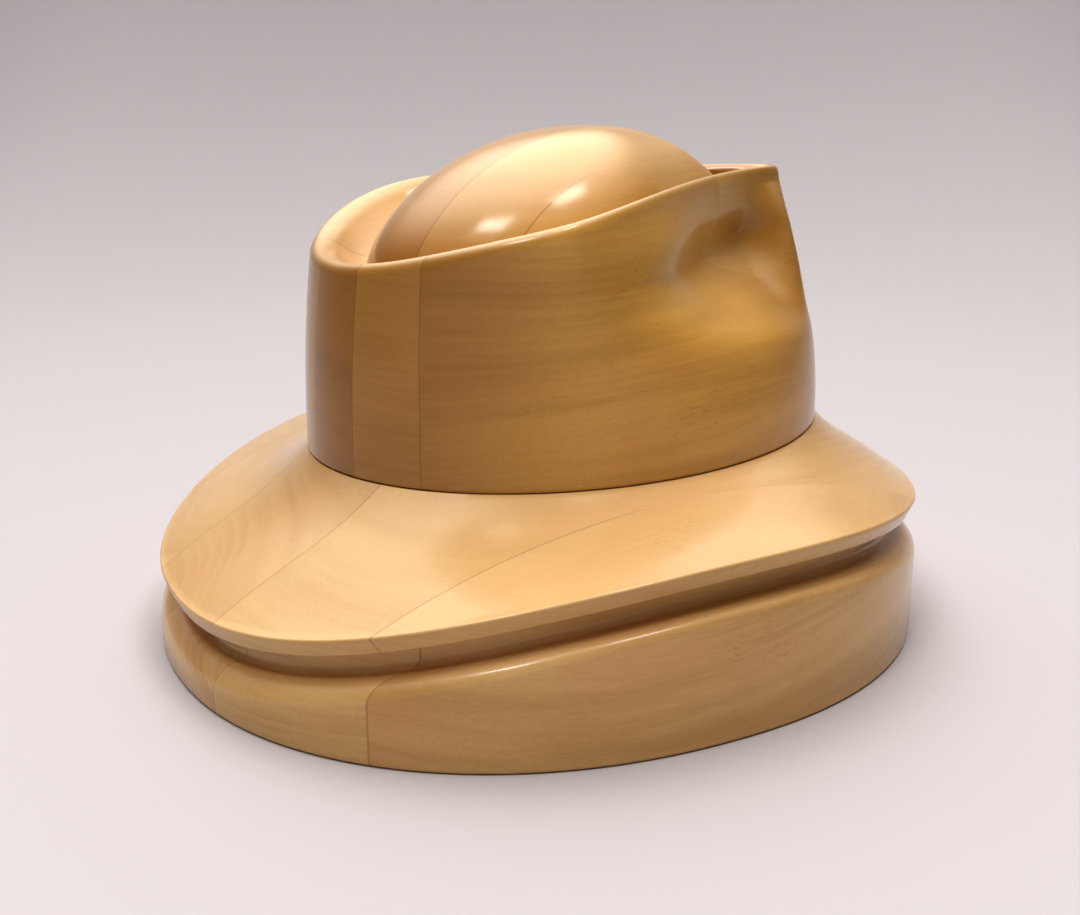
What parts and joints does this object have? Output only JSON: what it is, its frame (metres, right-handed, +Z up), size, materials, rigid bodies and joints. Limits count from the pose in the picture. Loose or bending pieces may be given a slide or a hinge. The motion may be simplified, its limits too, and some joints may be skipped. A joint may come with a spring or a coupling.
{
  "type": "hat block",
  "caption": "Wooden hat block for shaping a felt hat: a lift-off crown with a raised teardrop rim and side pinches, on a curved brim block with a cord groove.",
  "frame": {"origin": "middle of the foot's flat underside", "axes": "+Z up, -Y towards the front of the hat, +X towards the wearer's left"},
  "size_m": [0.26, 0.285, 0.182],
  "materials": {
    "dowel_wood": "plain sanded dowel, unseen when the crown is on",
    "brim_wood": "lime wood under clear gloss lacquer",
    "crown_wood": "lime wood under clear gloss lacquer"
  },
  "bodies": {
    "brim_block": {"brim_cheek_right": "brim_wood", "brim_board_right": "brim_wood", "brim_board_middle": "brim_wood", "brim_board_left": "brim_wood", "brim_cheek_left": "brim_wood", "dowel_front": "dowel_wood", "dowel_back": "dowel_wood"},
    "crown_block": {"crown_cheek_right": "crown_wood", "crown_board_right": "crown_wood", "crown_board_middle": "crown_wood", "crown_board_left": "crown_wood", "crown_cheek_left": "crown_wood"}
  },
  "joints": [
    {"name": "crown_lift", "type": "slide", "parent": "brim_block", "child": "crown_block", "axis": [0, 0, 1], "range_m": [0, 0.04]}
  ]
}
